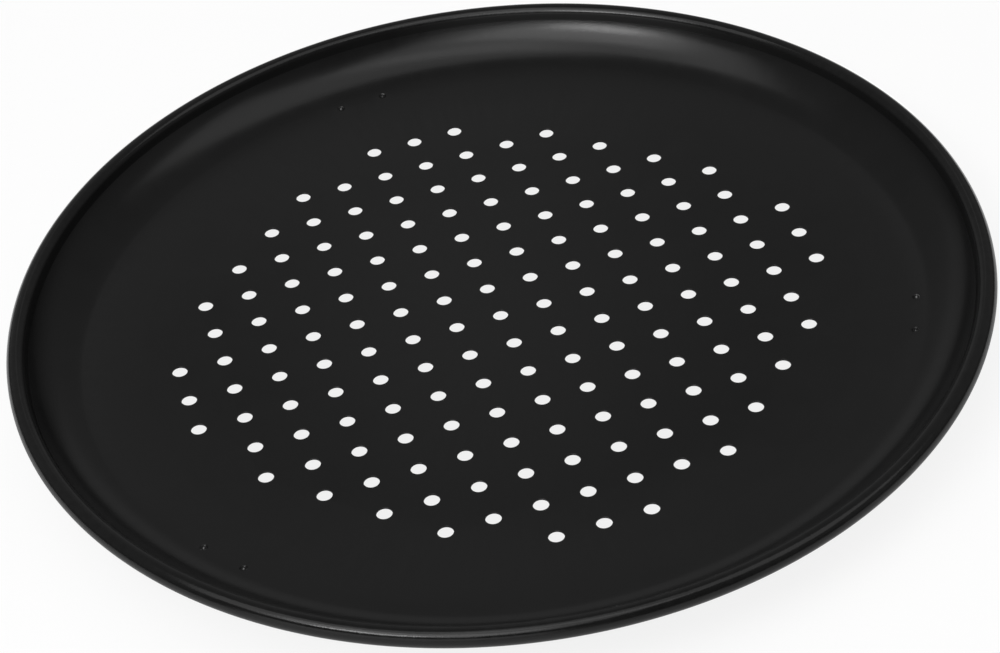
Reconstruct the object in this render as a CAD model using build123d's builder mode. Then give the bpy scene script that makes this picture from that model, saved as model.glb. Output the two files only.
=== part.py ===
"""Perforated pizza pan: one pressed sheet with a curled edge, standing on three welded feet.

Lengths are in millimetres and angles in degrees. The origin is on the surface that the pan
stands on, under the pan's centre, with +Z up. The rows of holes run along X and Y.
"""
import os
from math import acos, asin, cos, degrees, hypot, radians, sin

from build123d import *

os.makedirs("parts", exist_ok=True)

# Pressed sheet. Its section runs outward from the flat floor: a long gentle rise, a cove,
# a tight bend, a short steep wall, and a curl that turns outward and back in under itself.
pan_diameter = 319.0
sheet_thickness = 0.6
floor_clearance = 9.0
rise_radius = 372.0
rise_slope = 7.0
cove_radius = 24.5
cove_slope = 56.0
wall_bend_radius = 1.2
wall_slope = 76.0
wall_length = 1.8
bead_radius = 3.1
curl_end_gap = 0.3

# Punched holes, on a square grid. The counts say how many holes stand each side of the
# middle one, row by row, from the middle row outward.
hole_diameter = 5.0
hole_pitch = 15.0
hole_row_counts = (7, 7, 6, 6, 5, 4, 3, 1)
hole_margin = 6.0

# Feet. Each is one strip, bent into flange, leg, sole, leg and flange, with its folds
# lying along the pan's radius. The angle says where it stands round the pan, from +X.
foot_angles = {"foot_back": 95.0, "foot_front_left": 215.0, "foot_front_right": 335.0}
foot_inset = 25.1
strip_thickness = 1.0
strip_width = 10.0
sole_length = 9.0
bend_radius = 1.0
flange_corner_radius = 2.0

# Spot welds, one through each flange. The crown is how far a weld stands proud.
weld_spacing = 16.2
weld_diameter = 2.3
weld_crown = 0.2
weld_edge_distance = 4.0
weld_clearance = 0.05

cut_overrun = 2.0

# Section of the sheet, as radius from the pan's axis and height above the standing surface
floor_top = floor_clearance + sheet_thickness
rise_along = (cos(radians(rise_slope)), sin(radians(rise_slope)))
cove_along = (cos(radians(cove_slope)), sin(radians(cove_slope)))
wall_along = (cos(radians(wall_slope)), sin(radians(wall_slope)))
bead_center_radius = pan_diameter / 2 - bead_radius
wall_end_radius = bead_center_radius - bead_radius * wall_along[1]
wall_start_radius = wall_end_radius - wall_length * wall_along[0]
cove_end_radius = wall_start_radius - wall_bend_radius * (wall_along[1] - cove_along[1])
cove_start_radius = cove_end_radius - cove_radius * (cove_along[1] - rise_along[1])
floor_radius = cove_start_radius - rise_radius * rise_along[1]
rise_height = rise_radius * (1 - rise_along[0])
cove_end_height = floor_top + rise_height + cove_radius * (rise_along[0] - cove_along[0])
wall_start_height = cove_end_height + wall_bend_radius * (cove_along[0] - wall_along[0])
wall_end_height = wall_start_height + wall_length * wall_along[1]
rise_center = (floor_radius, floor_top + rise_radius)
cove_center = (
    cove_start_radius - cove_radius * rise_along[1],
    floor_top + rise_height + cove_radius * rise_along[0],
)
bend_center = (
    cove_end_radius - wall_bend_radius * cove_along[1],
    cove_end_height + wall_bend_radius * cove_along[0],
)
bead_center = (bead_center_radius, wall_end_height - bead_radius * wall_along[0])

# The curl goes as far round as it can and still stay clear of the wall's back.
curl_turn = 360 - degrees(acos((bead_radius - sheet_thickness - curl_end_gap) / bead_radius))

# Where a foot meets the underside of the rise
foot_radius = pan_diameter / 2 - foot_inset
under_radius = rise_radius + sheet_thickness
seat_slope = asin((foot_radius - floor_radius) / under_radius)
seat_height = floor_top + rise_radius - under_radius * cos(seat_slope)

# Half lengths of a foot, outward from its middle along the rim
channel_half = sole_length / 2 - strip_thickness
sole_half = sole_length / 2
flange_end = weld_spacing / 2 + weld_edge_distance
weld_hole_radius = weld_diameter / 2 + weld_clearance


def foot_seat(angle):
    """The plane that touches the underside over a foot: x up the slope, y along the rim."""
    around = (cos(radians(angle)), sin(radians(angle)))
    return Plane(
        origin=(foot_radius * around[0], foot_radius * around[1], seat_height),
        x_dir=(cos(seat_slope) * around[0], cos(seat_slope) * around[1], sin(seat_slope)),
        z_dir=(-sin(seat_slope) * around[0], -sin(seat_slope) * around[1], cos(seat_slope)),
    )


def sheet_face(depth):
    """One face of the sheet's section, this deep under its upper face: six tangent lines."""
    back = (depth * wall_along[1], -depth * wall_along[0])
    return [
        Line((0, floor_top - depth), (floor_radius, floor_top - depth)),
        CenterArc(rise_center, rise_radius + depth, -90, rise_slope),
        CenterArc(cove_center, cove_radius + depth, rise_slope - 90, cove_slope - rise_slope),
        CenterArc(bend_center, wall_bend_radius + depth, cove_slope - 90, wall_slope - cove_slope),
        Line(
            (wall_start_radius + back[0], wall_start_height + back[1]),
            (wall_end_radius + back[0], wall_end_height + back[1]),
        ),
        CenterArc(bead_center, bead_radius - depth, 90 + wall_slope, -curl_turn),
    ]


def hole_centers():
    """Centres of the punched holes, kept inside the ring where the feet are."""
    field_radius = foot_radius - strip_width / 2 - hole_margin
    centers = []
    for row in range(1 - len(hole_row_counts), len(hole_row_counts)):
        each_side = hole_row_counts[abs(row)]
        for column in range(-each_side, each_side + 1):
            center = (column * hole_pitch, row * hole_pitch)
            if hypot(*center) < field_radius:
                centers.append(center)
    return centers


def weld_places():
    """The two welds of a foot, on its seat."""
    return Locations((0, -weld_spacing / 2), (0, weld_spacing / 2))


def folds(foot, half_length):
    """Edges along the radius, this far from a foot's middle, from the lowest pair upward."""
    slack = strip_thickness / 4
    along_radius = foot.edges().filter_by(lambda edge: abs((edge @ 1 - edge @ 0).X) > slack)
    beside_leg = along_radius.filter_by(lambda edge: abs(abs(edge.center().Y) - half_length) < slack)
    return beside_leg.group_by(Axis.Z)


# Pressed sheet: its section is turned about the pan's axis, then punched.
with BuildPart() as pan_tray:
    with BuildSketch(Plane.XZ):
        with BuildLine():
            upper = sheet_face(0)
            lower = sheet_face(sheet_thickness)
            Line(upper[0] @ 0, lower[0] @ 0)
            Line(upper[-1] @ 1, lower[-1] @ 1)
        make_face()
    revolve(axis=Axis.Z)
    with BuildSketch(Plane.XY.offset(floor_clearance - cut_overrun)):
        with Locations(*hole_centers()):
            Circle(hole_diameter / 2)
    extrude(amount=rise_height + sheet_thickness + 2 * cut_overrun, mode=Mode.SUBTRACT)
    for angle in foot_angles.values():
        with BuildSketch(foot_seat(angle)):
            with weld_places():
                Circle(weld_hole_radius)
        extrude(amount=sheet_thickness + cut_overrun, both=True, mode=Mode.SUBTRACT)
pan_tray.part.label = "pan_tray"
export_step(pan_tray.part, "parts/pan_tray.step")

# One foot as it would stand on the +X side. A block as wide as the strip is cut away until
# the square-cornered strip is left, then its folds are rounded and its flanges pierced.
seat = foot_seat(0)
strip_middle = Plane.YZ.offset(foot_radius)
with BuildPart() as foot_pattern:
    with BuildSketch(strip_middle):
        Rectangle(2 * flange_end, seat_height + cut_overrun, align=(Align.CENTER, Align.MIN))
    extrude(amount=strip_width / 2, both=True)
    split(bisect_by=seat, keep=Keep.BOTTOM)
    with BuildSketch(strip_middle):
        with Locations((0, strip_thickness)):
            Rectangle(2 * channel_half, seat_height, align=(Align.CENTER, Align.MIN))
    extrude(amount=strip_width / 2 + cut_overrun, both=True, mode=Mode.SUBTRACT)
    with BuildSketch(seat.offset(-strip_thickness)):
        with Locations((0, -sole_half - flange_end), (0, sole_half + flange_end)):
            Rectangle(strip_width + 2 * cut_overrun, 2 * flange_end)
    extrude(amount=-seat_height - cut_overrun, mode=Mode.SUBTRACT)
    outer_folds = folds(foot_pattern, sole_half)
    inner_folds = folds(foot_pattern, channel_half)
    fillet(outer_folds[-1] + inner_folds[0], bend_radius)
    fillet(outer_folds[0] + inner_folds[-1], bend_radius + strip_thickness)
    for strip_end in foot_pattern.faces().sort_by(Axis.Y)[:: len(foot_pattern.faces()) - 1]:
        fillet(strip_end.edges().sort_by(SortBy.LENGTH)[:2], flange_corner_radius)
    with BuildSketch(seat):
        with weld_places():
            Circle(weld_hole_radius)
    extrude(amount=-strip_thickness - cut_overrun, mode=Mode.SUBTRACT)

# Feet: the same foot, turned to each place round the pan.
for name, angle in foot_angles.items():
    with BuildPart() as foot:
        add(foot_pattern.part.rotate(Axis.Z, angle))
    foot.part.label = name
    export_step(foot.part, f"parts/{name}.step")

# Spot welds: a nugget goes through sheet and flange, with a low crown at each end.
with BuildPart() as weld_pattern:
    for place in weld_places().locations:
        middle = seat.from_local_coords(place.position)
        with BuildSketch(Plane(middle, x_dir=seat.x_dir, z_dir=-seat.y_dir)):
            with BuildLine():
                tip = (0, sheet_thickness + weld_crown)
                root = (0, -strip_thickness - weld_crown)
                Line(root, tip)
                TangentArc(tip, (weld_diameter / 2, sheet_thickness), tangent=(1, 0))
                Line((weld_diameter / 2, sheet_thickness), (weld_diameter / 2, -strip_thickness))
                TangentArc(root, (weld_diameter / 2, -strip_thickness), tangent=(1, 0))
            make_face()
        revolve(axis=Axis(middle, seat.z_dir))
with BuildPart() as spot_welds:
    for angle in foot_angles.values():
        add(weld_pattern.part.rotate(Axis.Z, angle))
spot_welds.part.label = "spot_welds"
export_step(spot_welds.part, "parts/spot_welds.step")
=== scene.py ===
"""Looks of the perforated pizza pan: a pressed sheet with a dark non-stick coating, three
strip feet coated alike and their spot welds, on a plain pale floor in soft studio light.

Lengths are in metres, in the frame of the model: the origin is on the floor under the pan's
centre, with +Z up. The rows of holes run along X and Y.
"""
from math import acos, asin, atan, cos, pi, radians, sin, tan

import bpy
import numpy as np
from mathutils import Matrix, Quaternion, Vector
from mathutils.geometry import delaunay_2d_cdt


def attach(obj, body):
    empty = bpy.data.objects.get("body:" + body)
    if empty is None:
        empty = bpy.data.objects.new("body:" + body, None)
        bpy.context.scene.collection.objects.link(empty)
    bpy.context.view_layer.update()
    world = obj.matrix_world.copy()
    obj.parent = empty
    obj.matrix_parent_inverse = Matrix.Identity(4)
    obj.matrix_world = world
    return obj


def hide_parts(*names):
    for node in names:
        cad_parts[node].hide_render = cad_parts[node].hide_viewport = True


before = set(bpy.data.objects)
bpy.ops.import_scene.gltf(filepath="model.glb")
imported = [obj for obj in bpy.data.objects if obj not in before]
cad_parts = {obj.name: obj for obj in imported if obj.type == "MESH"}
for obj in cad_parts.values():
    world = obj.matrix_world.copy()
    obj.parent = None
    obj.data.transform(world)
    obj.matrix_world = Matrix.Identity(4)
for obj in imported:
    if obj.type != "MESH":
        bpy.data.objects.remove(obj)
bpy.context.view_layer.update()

# Pressed sheet, with the sizes of the model
PAN_DIAMETER = 0.319
SHEET_THICKNESS = 0.0006
FLOOR_CLEARANCE = 0.009
RISE_RADIUS = 0.372
RISE_SLOPE = radians(7.0)
COVE_RADIUS = 0.0245
COVE_SLOPE = radians(56.0)
BEND_RADIUS = 0.0012
WALL_SLOPE = radians(76.0)
WALL_LENGTH = 0.0018
BEAD_RADIUS = 0.0031
CURL_END_GAP = 0.0003

# Punched holes, on a square grid. The counts say how many stand each side of the middle one,
# row by row, from the middle row outward.
HOLE_RADIUS = 0.0025
HOLE_PITCH = 0.015
HOLE_ROW_COUNTS = (7, 7, 6, 6, 5, 4, 3, 1)

# Feet and their welds
FOOT_ANGLES = (95.0, 215.0, 335.0)
FOOT_INSET = 0.0251
STRIP_THICKNESS = 0.001
WELD_SPACING = 0.0162
WELD_HOLE_RADIUS = 0.0012
WELD_RADIUS = 0.00115
WELD_CROWN = 0.0002

# Dimple that the welding left in the top of each weld, and the pip in its middle
WELD_DIMPLE = 0.00025
WELD_DIMPLE_WALL = 0.0003
WELD_PIP = 0.00043
WELD_PIP_RADIUS = 0.00072

# Section of the sheet, as radius from the pan's axis and height
FLOOR_TOP = FLOOR_CLEARANCE + SHEET_THICKNESS
BEAD_CENTER_RADIUS = PAN_DIAMETER / 2 - BEAD_RADIUS
WALL_END_RADIUS = BEAD_CENTER_RADIUS - BEAD_RADIUS * sin(WALL_SLOPE)
WALL_START_RADIUS = WALL_END_RADIUS - WALL_LENGTH * cos(WALL_SLOPE)
COVE_END_RADIUS = WALL_START_RADIUS - BEND_RADIUS * (sin(WALL_SLOPE) - sin(COVE_SLOPE))
COVE_START_RADIUS = COVE_END_RADIUS - COVE_RADIUS * (sin(COVE_SLOPE) - sin(RISE_SLOPE))
FLOOR_RADIUS = COVE_START_RADIUS - RISE_RADIUS * sin(RISE_SLOPE)
RISE_HEIGHT = RISE_RADIUS * (1 - cos(RISE_SLOPE))
RISE_CENTER = (FLOOR_RADIUS, FLOOR_TOP + RISE_RADIUS)
COVE_CENTER = (
    COVE_START_RADIUS - COVE_RADIUS * sin(RISE_SLOPE),
    FLOOR_TOP + RISE_HEIGHT + COVE_RADIUS * cos(RISE_SLOPE),
)
COVE_END_HEIGHT = COVE_CENTER[1] - COVE_RADIUS * cos(COVE_SLOPE)
BEND_CENTER = (
    COVE_END_RADIUS - BEND_RADIUS * sin(COVE_SLOPE),
    COVE_END_HEIGHT + BEND_RADIUS * cos(COVE_SLOPE),
)
WALL_START_HEIGHT = BEND_CENTER[1] - BEND_RADIUS * cos(WALL_SLOPE)
BEAD_CENTER = (
    BEAD_CENTER_RADIUS,
    WALL_START_HEIGHT + WALL_LENGTH * sin(WALL_SLOPE) - BEAD_RADIUS * cos(WALL_SLOPE),
)
CURL_TURN = 2 * pi - acos((BEAD_RADIUS - SHEET_THICKNESS - CURL_END_GAP) / BEAD_RADIUS)
RIM_TOP = BEAD_CENTER[1] + BEAD_RADIUS

# Where a foot meets the underside of the rise, and how high a weld's pip reaches over it
FOOT_RADIUS = PAN_DIAMETER / 2 - FOOT_INSET
UNDER_RADIUS = RISE_RADIUS + SHEET_THICKNESS
SEAT_SLOPE = asin((FOOT_RADIUS - FLOOR_RADIUS) / UNDER_RADIUS)
SEAT_HEIGHT = RISE_CENTER[1] - UNDER_RADIUS * cos(SEAT_SLOPE)
PIP_TOP = SEAT_HEIGHT + SHEET_THICKNESS - WELD_DIMPLE + WELD_PIP

# How finely the tray is divided. Inside the split it is a plan with holes, and outside it is
# turned from a section.
ROUND_SIDES = 480
HOLE_SIDES = 40
SPLIT_RADIUS = 0.1372
FIELD_RINGS = (0.1170, 0.1200, 0.1230, 0.1260, 0.1290, 0.1320)
COVE_STEPS = 20
BEND_STEPS = 5
CURL_STEPS = 36
MERGE_DISTANCE = 1e-9

# How a punched edge rolls over into its hole, with a guard ring beyond the roll that keeps
# its shading off the flat sheet
ROLL_WIDTH = 0.0002
ROLL_DEPTH = 0.0001
ROLL_STEPS = 2
GUARD_WIDTH = 0.00015

# How finely a weld is divided
WELD_SIDES = 40
WELD_STEPS = 10

# Camera, as the photograph was taken: it looks down into the pan from the front left.
VIEW_AZIMUTH = -12.32
VIEW_ELEVATION = 39.795
VIEW_ROLL = -7.52
VIEW_DISTANCE = 0.83082
VIEW_AIM = (-0.00191, -0.00565, 0.0096)
LENS_MM = 91.815
SENSOR_MM = 36.0

# Lamps. Each has the direction of its middle from the pan, as an azimuth from +X and an
# elevation, the angles that its face spans across and along, how far the face is turned in
# its own plane, and the brightness of its face, where 1 is white.
LAMP_DISTANCE = 2.4
LAMPS = {
    "strip_left": dict(azimuth=221.0, elevation=54.0, span=(30.0, 38.0), turn=85.0, face=2.3),
    "strip_core": dict(azimuth=218.0, elevation=46.0, span=(9.0, 18.0), turn=85.0, face=10.0),
    "softbox_overhead": dict(azimuth=216.0, elevation=67.0, span=(62.0, 42.0), turn=6.0, face=1.3),
    "softbox_right": dict(azimuth=-22.0, elevation=72.0, span=(32.0, 56.0), turn=8.0, face=0.95),
    "panel_low_left": dict(azimuth=230.0, elevation=13.0, span=(60.0, 22.0), turn=7.0, face=1.2),
    "panel_back": dict(azimuth=79.0, elevation=41.0, span=(8.0, 9.0), turn=0.0, face=0.2),
    "panel_back_low": dict(azimuth=88.0, elevation=10.0, span=(60.0, 24.0), turn=0.0, face=0.12),
}

# Light from all round the studio, which is dim on the camera's side and near the floor. The
# range is how nearly a direction points to the dim side, as a cosine, where it grows dim.
ROOM_GREY = 0.275
ROOM_DIM_GREY = 0.12
ROOM_DIM_AZIMUTH = -110.0
ROOM_DIM_RANGE = (0.1, 0.7)
ROOM_FULL_HEIGHT = 0.45
ROOM_LOW_SHARE = 0.35

# Coating: how dark and how rough it is, where it lies flat and where it is steep or faces
# down. The range is how far up a face points, as a cosine, from flat to steep.
COATING_GREY = 0.0045
COATING_IOR = 1.345
COATING_ROUGHNESS = 0.21
COATING_STEEP_ROUGHNESS = 0.4
STEEP_RANGE = (0.65, 0.15)
STEEL_GREY = 0.4

# Unevenness of the coating. The scales are features per metre, and the stretches scale a
# mark's coordinates along the rim and outward.
NOISE_DETAIL = 3.0
NOISE_RANGE = (0.3, 0.7)
GRAIN_SCALE = 1600.0
GRAIN_DETAIL = 4.0
CLOUD_SCALE = 55.0
SPUN_SCALE = 1900.0
SPUN_STRETCH = (0.03, 1.0)
WIPED_SCALE = 330.0
WIPED_STRETCH = (1.0, 0.12)
SHADE_SPREAD = 0.1
ROUGHNESS_SPREAD = 0.02
SPUN_RELIEF_SHARE = 0.5
RELIEF_STRENGTH = 0.25
RELIEF_DEPTH = 0.0001

# Wear of the coating: on the crown of the rim and the tips of the pips, from the first depth
# under their top to the second, and on the soles below a height. The gloss is how much
# roughness it takes away, and the bare share how much steel it lays bare in patches.
PATCH_SCALE = 420.0
PATCH_RANGE = (0.4, 0.65)
RIM_WEAR_DEPTHS = (0.002, 0.0012)
RIM_GLOSS = 0.08
RIM_BARE_SHARE = 0.004
SOLE_WEAR_HEIGHT = 0.0008
SOLE_GLOSS = 0.05
SOLE_BARE_SHARE = 0.5
FOOT_ROUGHNESS = 0.3
PIP_WEAR_DEPTHS = (0.0003, 0.0001)
PIP_BARE_SHARE = 0.45
WELD_ROUGHNESS = 0.2

# Floor, a hair under the soles. The white share is how far it looks plain white where it is
# seen directly or in a reflection.
FLOOR_SIZE = 8.0
FLOOR_GAP = 0.00005
FLOOR_GREY = 0.92
FLOOR_WHITE_SHARE = 0.86


def ring(center, radius, sides):
    """Points round a circle in plan."""
    turn = np.arange(sides) * 2 * pi / sides
    return np.c_[center[0] + radius * np.cos(turn), center[1] + radius * np.sin(turn)]


def turned_point(radius, height, sides):
    """Points that a point of a section passes as it is turned about +Z."""
    return np.c_[ring((0, 0), radius, sides), np.full(sides, height)]


def ring_edges(ids):
    """Pairs of neighbours in a ring of points."""
    return list(zip(ids.tolist(), np.roll(ids, -1).tolist()))


def strip_of_quads(first, second):
    """Quads between two rings of points."""
    return np.c_[first, second, np.roll(second, -1), np.roll(first, -1)].tolist()


def smooth_mesh(name, points, faces, sharp):
    """A mesh with smooth shading, apart from the edges between these pairs of points."""
    mesh = bpy.data.meshes.new(name)
    mesh.from_pydata(np.vstack(points).tolist(), [], faces)
    mesh.shade_smooth()
    wanted = {tuple(sorted(pair)) for pair in sharp}
    ends = np.zeros(len(mesh.edges) * 2, np.int32)
    mesh.edges.foreach_get("vertices", ends)
    flags = [tuple(sorted(pair)) in wanted for pair in ends.reshape(-1, 2).tolist()]
    mesh.attributes.new("sharp_edge", "BOOLEAN", "EDGE").data.foreach_set("value", flags)
    return mesh


def dish_height(radius, depth):
    """Height of the face this deep in the sheet, from the middle of the floor into the cove."""
    out = np.clip(radius - RISE_CENTER[0], 0, None)
    rise = RISE_CENTER[1] - np.sqrt((RISE_RADIUS + depth) ** 2 - out**2)
    out = np.clip(radius - COVE_CENTER[0], 0, COVE_RADIUS)
    cove = COVE_CENTER[1] - np.sqrt((COVE_RADIUS + depth) ** 2 - out**2)
    return np.where(radius < COVE_START_RADIUS + depth * sin(RISE_SLOPE), rise, cove)


def hole_centers():
    """Centres of the punched holes."""
    centers = []
    for row in range(1 - len(HOLE_ROW_COUNTS), len(HOLE_ROW_COUNTS)):
        each_side = HOLE_ROW_COUNTS[abs(row)]
        for column in range(-each_side, each_side + 1):
            centers.append((column * HOLE_PITCH, row * HOLE_PITCH))
    return centers


def weld_hole_centers(depth):
    """Centres of the weld holes where they meet the face this deep in the sheet."""
    radius = FOOT_RADIUS + (depth - SHEET_THICKNESS) * sin(SEAT_SLOPE)
    centers = []
    for angle in map(radians, FOOT_ANGLES):
        for side in (-WELD_SPACING / 2, WELD_SPACING / 2):
            x = radius * cos(angle) - side * sin(angle)
            y = radius * sin(angle) + side * cos(angle)
            centers.append((x, y))
    return centers


def punched_edge(depth):
    """How a face of the sheet ends at a hole, as steps away from the hole's wall and how far
    each lies under the face. The upper face rolls over, and the lower one ends sharp."""
    if depth > 0:
        return [(0, 0)]
    steps = []
    for turn in np.linspace(0, pi / 2, ROLL_STEPS + 1):
        steps.append((ROLL_WIDTH * (1 - cos(turn)), ROLL_DEPTH * (1 - sin(turn))))
    return steps + [(ROLL_WIDTH + GUARD_WIDTH, 0)]


def plan_triangles(plan, edges, holes):
    """Triangles over these points in plan, along these edges and clear of the holes."""
    points = [Vector(point) for point in plan]
    over_whole_hull, with_ids = 0, True
    found = delaunay_2d_cdt(points, edges, [], over_whole_hull, MERGE_DISTANCE, with_ids)
    own = np.array([ids[0] for ids in found[3]])
    triangles = own[np.array(found[2])]
    middles = plan[triangles].mean(axis=1)
    kept = np.ones(len(triangles), bool)
    for center, radius in holes:
        kept &= np.hypot(*(middles - center).T) > radius
    return triangles[kept]


def holed_face(depth):
    """The part of one face of the sheet inside the split, with its holes: points, triangles,
    the ring of points round each hole, and the outermost ring."""
    holes = [(center, HOLE_RADIUS) for center in hole_centers()]
    holes += [(center, WELD_HOLE_RADIUS) for center in weld_hole_centers(depth)]
    steps = punched_edge(depth)
    circles = []
    for center, radius in holes:
        circles += [(center, radius + width, HOLE_SIDES, drop) for width, drop in steps]
    circles += [((0, 0), radius, ROUND_SIDES // 2, 0) for radius in FIELD_RINGS]
    circles.append(((0, 0), SPLIT_RADIUS, ROUND_SIDES, 0))

    plan = np.vstack([ring(center, radius, sides) for center, radius, sides, _ in circles])
    drops = np.concatenate([np.full(sides, drop) for _, _, sides, drop in circles])
    ends = np.cumsum([sides for _, _, sides, _ in circles])
    rings = np.split(np.arange(len(plan)), ends[:-1])
    edges = [pair for ids in rings for pair in ring_edges(ids)]
    heights = dish_height(np.hypot(*plan.T), depth) - drops
    rims = rings[: len(holes) * len(steps) : len(steps)]
    return np.c_[plan, heights], plan_triangles(plan, edges, holes), rims, rings[-1]


def outer_section(depth):
    """One face of the sheet from the split outward, as radius and height: the cove, the bend,
    and the curl. The wall is the straight stretch from the bend to the curl."""
    cove = COVE_RADIUS + depth
    bend = BEND_RADIUS + depth
    bead = BEAD_RADIUS - depth
    start = asin((SPLIT_RADIUS - COVE_CENTER[0]) / cove)
    points = []
    for slope in np.linspace(start, COVE_SLOPE, COVE_STEPS)[1:]:
        points.append((COVE_CENTER[0] + cove * sin(slope), COVE_CENTER[1] - cove * cos(slope)))
    for slope in np.linspace(COVE_SLOPE, WALL_SLOPE, BEND_STEPS)[1:]:
        points.append((BEND_CENTER[0] + bend * sin(slope), BEND_CENTER[1] - bend * cos(slope)))
    for turn in np.linspace(0, CURL_TURN, CURL_STEPS):
        slope = WALL_SLOPE - turn
        points.append((BEAD_CENTER[0] - bead * sin(slope), BEAD_CENTER[1] + bead * cos(slope)))
    return points


def tray_mesh():
    """The whole pressed sheet: two holed faces, the walls of the holes, and the turned edge."""
    upper, upper_triangles, upper_rims, upper_outer = holed_face(0)
    lower, lower_triangles, lower_rims, lower_outer = holed_face(SHEET_THICKNESS)
    below = len(upper)
    points = [upper, lower]
    faces = upper_triangles.tolist() + (lower_triangles[:, ::-1] + below).tolist()
    sharp = []
    for rim, under in zip(upper_rims, lower_rims):
        faces += strip_of_quads(under + below, rim)
        sharp += ring_edges(under + below)

    loop = outer_section(0) + outer_section(SHEET_THICKNESS)[::-1]
    points += [turned_point(radius, height, ROUND_SIDES) for radius, height in loop]
    turned = np.arange(len(loop) * ROUND_SIDES).reshape(-1, ROUND_SIDES) + below + len(lower)
    rings = [upper_outer, *turned, lower_outer + below]
    for first, second in zip(rings, rings[1:]):
        faces += strip_of_quads(first, second)
    curl_end = len(loop) // 2
    for ids in turned[curl_end - 1 : curl_end + 1]:
        sharp += ring_edges(ids)
    return smooth_mesh("coated_tray", points, faces, sharp)


def weld_section():
    """Half section of a weld, as radius and height from its seat: on top a pip in the middle of
    the dimple that the electrode left, then a straight side, and a low crown at the lower end."""
    points = []
    for turn in np.linspace(0, pi, WELD_STEPS):
        rise = WELD_PIP * (1 + cos(turn)) / 2
        points.append((WELD_PIP_RADIUS * turn / pi, SHEET_THICKNESS - WELD_DIMPLE + rise))
    for turn in np.linspace(0, pi, WELD_STEPS):
        radius = WELD_RADIUS - WELD_DIMPLE_WALL * (1 - turn / pi)
        rise = WELD_DIMPLE * (1 - cos(turn)) / 2
        points.append((radius, SHEET_THICKNESS - WELD_DIMPLE + rise))
    half_turn = 2 * atan(WELD_CROWN / WELD_RADIUS)
    ball = WELD_RADIUS / sin(half_turn)
    for turn in np.linspace(half_turn, 0, WELD_STEPS):
        points.append((ball * sin(turn), -STRIP_THICKNESS - WELD_CROWN + ball * (1 - cos(turn))))
    return points


def turned_weld():
    """A weld turned about +Z from its section: points, faces, and the rings at its two edges."""
    section = weld_section()
    rings = np.arange((len(section) - 2) * WELD_SIDES).reshape(-1, WELD_SIDES) + 1
    top, bottom = 0, rings.size + 1
    points = [(0, 0, section[0][1])]
    points += [turned_point(radius, height, WELD_SIDES) for radius, height in section[1:-1]]
    points.append((0, 0, section[-1][1]))
    faces = [(top, first, second) for first, second in ring_edges(rings[0])]
    for first, second in zip(rings, rings[1:]):
        faces += strip_of_quads(first, second)
    faces += [(bottom, second, first) for first, second in ring_edges(rings[-1])]

    # The side follows the steps of the pip and of the dimple, the first of which is no ring.
    side_top = 2 * WELD_STEPS - 2
    return np.vstack(points), faces, rings[side_top : side_top + 2]


def weld_seats():
    """Where each weld stands: the middle of its seat, and its axes, which run up the slope,
    along the rim and square to the seat."""
    up = np.array((0.0, 0.0, 1.0))
    seats = []
    for angle in map(radians, FOOT_ANGLES):
        out = np.array((cos(angle), sin(angle), 0.0))
        along = np.array((-sin(angle), cos(angle), 0.0))
        slope = cos(SEAT_SLOPE) * out + sin(SEAT_SLOPE) * up
        square = cos(SEAT_SLOPE) * up - sin(SEAT_SLOPE) * out
        for side in (-WELD_SPACING / 2, WELD_SPACING / 2):
            middle = FOOT_RADIUS * out + SEAT_HEIGHT * up + side * along
            seats.append((middle, np.array((slope, along, square))))
    return seats


def weld_mesh():
    """All the welds, each set square on its foot's seat."""
    shape, shape_faces, shape_edges = turned_weld()
    points, faces, sharp = [], [], []
    for number, (middle, axes) in enumerate(weld_seats()):
        start = number * len(shape)
        points.append(middle + shape @ axes)
        faces += [[start + corner for corner in face] for face in shape_faces]
        for ids in shape_edges:
            sharp += ring_edges(start + ids)
    return smooth_mesh("weld_marks", points, faces, sharp)


def node_tree(owner):
    """An emptied node tree and a function that adds a node to it with its inputs."""
    owner.use_nodes = True
    tree = owner.node_tree
    tree.nodes.clear()

    def add(kind, inputs=None, **settings):
        node = tree.nodes.new(kind)
        for key, value in settings.items():
            setattr(node, key, value)
        for key, value in (inputs or {}).items():
            if isinstance(value, bpy.types.NodeSocket):
                tree.links.new(value, node.inputs[key])
            else:
                node.inputs[key].default_value = value
        return node

    return tree, add


def grey(value):
    """An opaque grey of this lightness."""
    return (value, value, value, 1.0)


def direction(azimuth, elevation):
    """Unit vector toward an azimuth from +X and an elevation, in degrees."""
    a, e = radians(azimuth), radians(elevation)
    return Vector((cos(a) * cos(e), sin(a) * cos(e), sin(e)))


def noise(add, vector, scale, detail=NOISE_DETAIL):
    """Noise from 0 to 1 with this many features per metre of the vector."""
    node = add("ShaderNodeTexNoise", {"Vector": vector, "Scale": scale, "Detail": detail})
    return node.outputs["Fac"]


def calculate(add, operation, first, second):
    """Result of one operation on two values."""
    return add("ShaderNodeMath", {0: first, 1: second}, operation=operation).outputs[0]


def ramp(add, value, start, end, low=0.0, high=1.0, interpolation="LINEAR"):
    """Value carried over from the range start..end to low..high, without passing either end."""
    limits = {"Value": value, "From Min": start, "From Max": end, "To Min": low, "To Max": high}
    node = add("ShaderNodeMapRange", limits, interpolation_type=interpolation)
    return node.outputs["Result"]


def around_pan(add, point, along_share, out_share):
    """Coordinates that follow the rim: metres along it and outward, each times its share."""
    split = add("ShaderNodeSeparateXYZ", {"Vector": point})
    flat = add("ShaderNodeCombineXYZ", {"X": split.outputs["X"], "Y": split.outputs["Y"]})
    radius = add("ShaderNodeVectorMath", {0: flat.outputs["Vector"]}, operation="LENGTH")
    angle = calculate(add, "ARCTAN2", split.outputs["Y"], split.outputs["X"])
    along = calculate(add, "MULTIPLY", angle, along_share * PAN_DIAMETER / 2)
    out = calculate(add, "MULTIPLY", radius.outputs["Value"], out_share)
    return add("ShaderNodeCombineXYZ", {"X": along, "Y": out}).outputs["Vector"]


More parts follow.
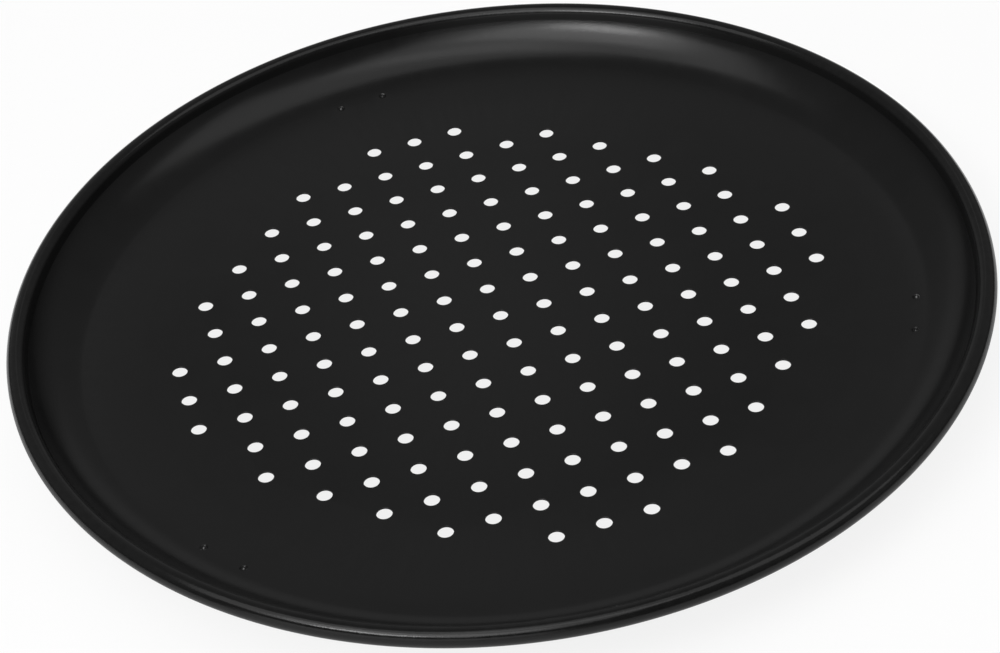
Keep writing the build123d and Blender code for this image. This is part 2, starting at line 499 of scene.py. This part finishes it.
def coating_color(add, clouds, bare):
    """Colour of the coating, slightly cloudy, and of bare steel by this share."""
    darkest, lightest = COATING_GREY * (1 - SHADE_SPREAD), COATING_GREY * (1 + SHADE_SPREAD)
    shade = ramp(add, clouds, *NOISE_RANGE, darkest, lightest)
    shade = ramp(add, bare, 0.0, 1.0, shade, STEEL_GREY)
    return add("ShaderNodeCombineXYZ", {"X": shade, "Y": shade, "Z": shade}).outputs["Vector"]


def coating_roughness(add, normal, roughness, marks):
    """Roughness of the coating: more where it is steep or faces down, and uneven by its marks."""
    faces_up = add("ShaderNodeSeparateXYZ", {"Vector": normal}).outputs["Z"]
    rough = ramp(add, faces_up, *STEEP_RANGE, roughness, COATING_STEEP_ROUGHNESS)
    for mark in marks:
        uneven = ramp(add, mark, *NOISE_RANGE, -ROUGHNESS_SPREAD, ROUGHNESS_SPREAD)
        rough = calculate(add, "ADD", rough, uneven)
    return rough


def coated_surface(name, worn_from, worn_to, gloss, bare_share, roughness=COATING_ROUGHNESS):
    """Dark sprayed non-stick coating: satin, with a fine grain, faint marks of forming along the
    rim and wiping marks across it. Handling has worn it between the first height and the second:
    there it has this much less roughness, and patches of it are worn to steel by this share."""
    material = bpy.data.materials.new(name)
    tree, add = node_tree(material)
    coords = add("ShaderNodeTexCoord")
    point = coords.outputs["Object"]
    grain = noise(add, point, GRAIN_SCALE, GRAIN_DETAIL)
    clouds = noise(add, point, CLOUD_SCALE)
    spun = noise(add, around_pan(add, point, *SPUN_STRETCH), SPUN_SCALE)
    wiped = noise(add, around_pan(add, point, *WIPED_STRETCH), WIPED_SCALE)

    height = add("ShaderNodeSeparateXYZ", {"Vector": point}).outputs["Z"]
    worn = ramp(add, height, worn_from, worn_to)
    patches = ramp(add, noise(add, point, PATCH_SCALE), *PATCH_RANGE, 0.0, bare_share)
    bare = calculate(add, "MULTIPLY", worn, patches)
    rough = coating_roughness(add, coords.outputs["Normal"], roughness, (clouds, wiped))
    rough = calculate(add, "SUBTRACT", rough, calculate(add, "MULTIPLY", worn, gloss))
    relief = calculate(add, "ADD", grain, calculate(add, "MULTIPLY", spun, SPUN_RELIEF_SHARE))
    bump = add(
        "ShaderNodeBump",
        {"Strength": RELIEF_STRENGTH, "Distance": RELIEF_DEPTH, "Height": relief},
    )
    shader = add(
        "ShaderNodeBsdfPrincipled",
        {
            "Base Color": coating_color(add, clouds, bare),
            "Metallic": bare,
            "Roughness": rough,
            "IOR": COATING_IOR,
            "Normal": bump.outputs["Normal"],
        },
    )
    output = add("ShaderNodeOutputMaterial")
    tree.links.new(shader.outputs["BSDF"], output.inputs["Surface"])
    return material


def sheet_material():
    """Coating of the sheet, rubbed smoother on the crown of the rim."""
    worn_from, worn_to = (RIM_TOP - depth for depth in RIM_WEAR_DEPTHS)
    return coated_surface("sheet_coating", worn_from, worn_to, RIM_GLOSS, RIM_BARE_SHARE)


def foot_material():
    """Coating of the feet, worn on the soles."""
    return coated_surface(
        "foot_coating", SOLE_WEAR_HEIGHT, 0.0, SOLE_GLOSS, SOLE_BARE_SHARE, FOOT_ROUGHNESS
    )


def weld_material():
    """Coating over the welds, worn off the tips of their pips."""
    worn_from, worn_to = (PIP_TOP - depth for depth in PIP_WEAR_DEPTHS)
    return coated_surface("weld_coating", worn_from, worn_to, 0.0, PIP_BARE_SHARE, WELD_ROUGHNESS)


def floor_material():
    """Pale floor. What looks at it directly or in a reflection sees it nearly white, and it is
    clear from below, so that the underside of the pan can be looked at."""
    material = bpy.data.materials.new("floor")
    tree, add = node_tree(material)
    rays = add("ShaderNodeLightPath").outputs
    seen = calculate(add, "MAXIMUM", rays["Is Camera Ray"], rays["Is Glossy Ray"])
    seen = calculate(add, "MAXIMUM", seen, rays["Is Transmission Ray"])
    white_share = calculate(add, "MULTIPLY", seen, FLOOR_WHITE_SHARE)
    matte = add("ShaderNodeBsdfDiffuse", {"Color": grey(FLOOR_GREY)})
    white = add("ShaderNodeEmission", {"Color": grey(1.0), "Strength": 1.0})
    above = add("ShaderNodeMixShader", {0: white_share, 1: matte.outputs[0], 2: white.outputs[0]})
    backfacing = add("ShaderNodeNewGeometry").outputs["Backfacing"]
    clear = add("ShaderNodeBsdfTransparent")
    mix = add("ShaderNodeMixShader", {0: backfacing, 1: above.outputs[0], 2: clear.outputs[0]})
    output = add("ShaderNodeOutputMaterial")
    tree.links.new(mix.outputs[0], output.inputs["Surface"])
    return material


def make_floor():
    """Plain floor that the pan stands on."""
    bpy.ops.mesh.primitive_plane_add(size=FLOOR_SIZE, location=(0.0, 0.0, -FLOOR_GAP))
    floor = bpy.context.object
    floor.name = "floor"
    floor.data.materials.append(floor_material())


def make_camera():
    """Camera that sees the pan as the photograph does."""
    a, e = radians(VIEW_AZIMUTH), radians(VIEW_ELEVATION)
    back = Vector((sin(a) * cos(e), -cos(a) * cos(e), sin(e)))
    camera = bpy.data.objects.new("camera", bpy.data.cameras.new("camera"))
    camera.data.lens = LENS_MM
    camera.data.sensor_width = SENSOR_MM
    camera.location = Vector(VIEW_AIM) + back * VIEW_DISTANCE
    camera.rotation_mode = "QUATERNION"
    level = (-back).to_track_quat("-Z", "Y")
    camera.rotation_quaternion = level @ Quaternion((0.0, 0.0, 1.0), radians(VIEW_ROLL))
    bpy.context.scene.collection.objects.link(camera)
    bpy.context.scene.camera = camera


def make_lamps():
    """Lamps, all at one distance and each facing the pan."""
    for name, spec in LAMPS.items():
        light = bpy.data.lights.new(name, "AREA")
        light.shape = "RECTANGLE"
        light.size = 2 * LAMP_DISTANCE * tan(radians(spec["span"][0] / 2))
        light.size_y = 2 * LAMP_DISTANCE * tan(radians(spec["span"][1] / 2))
        light.energy = spec["face"] * pi * light.size * light.size_y
        lamp = bpy.data.objects.new(name, light)
        toward = direction(spec["azimuth"], spec["elevation"])
        lamp.location = toward * LAMP_DISTANCE
        lamp.rotation_mode = "QUATERNION"
        turn = Quaternion((0.0, 0.0, 1.0), radians(spec["turn"]))
        lamp.rotation_quaternion = toward.to_track_quat("Z", "Y") @ turn
        lamp.visible_camera = False
        bpy.context.scene.collection.objects.link(lamp)


def make_world():
    """Soft light from all round, with a dim side."""
    world = bpy.data.worlds.new("studio")
    bpy.context.scene.world = world
    tree, add = node_tree(world)
    toward = add("ShaderNodeTexCoord").outputs["Generated"]
    dim_side = direction(ROOM_DIM_AZIMUTH, 0.0)
    to_dim = add("ShaderNodeVectorMath", {0: toward, 1: dim_side}, operation="DOT_PRODUCT")
    to_dim = to_dim.outputs["Value"]
    level = ramp(add, to_dim, *ROOM_DIM_RANGE, ROOM_GREY, ROOM_DIM_GREY, "SMOOTHSTEP")
    height = add("ShaderNodeSeparateXYZ", {"Vector": toward}).outputs["Z"]
    share = ramp(add, height, 0.0, ROOM_FULL_HEIGHT, ROOM_LOW_SHARE, 1.0, "SMOOTHSTEP")
    level = calculate(add, "MULTIPLY", level, share)
    background = add("ShaderNodeBackground", {"Color": grey(1.0), "Strength": level})
    output = add("ShaderNodeOutputWorld")
    tree.links.new(background.outputs[0], output.inputs["Surface"])


def make_piece(name, mesh, material, node):
    """A piece put in place of a node of the model, which is hidden."""
    mesh.materials.append(material)
    piece = bpy.data.objects.new(name, mesh)
    bpy.context.scene.collection.objects.link(piece)
    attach(piece, "root")
    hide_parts(node)


def dress_cad_nodes(materials):
    """Gives each node of the model its own material."""
    for name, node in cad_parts.items():
        node.data.materials.clear()
        node.data.materials.append(materials[name])


bpy.context.scene.view_settings.view_transform = "Standard"
make_camera()
make_world()
make_lamps()
make_floor()
sheet = sheet_material()
foot = foot_material()
weld = weld_material()
make_piece("coated_tray", tray_mesh(), sheet, "pan_tray")
make_piece("weld_marks", weld_mesh(), weld, "spot_welds")
dress_cad_nodes(
    {
        "pan_tray": sheet,
        "foot_back": foot,
        "foot_front_left": foot,
        "foot_front_right": foot,
        "spot_welds": weld,
    }
)
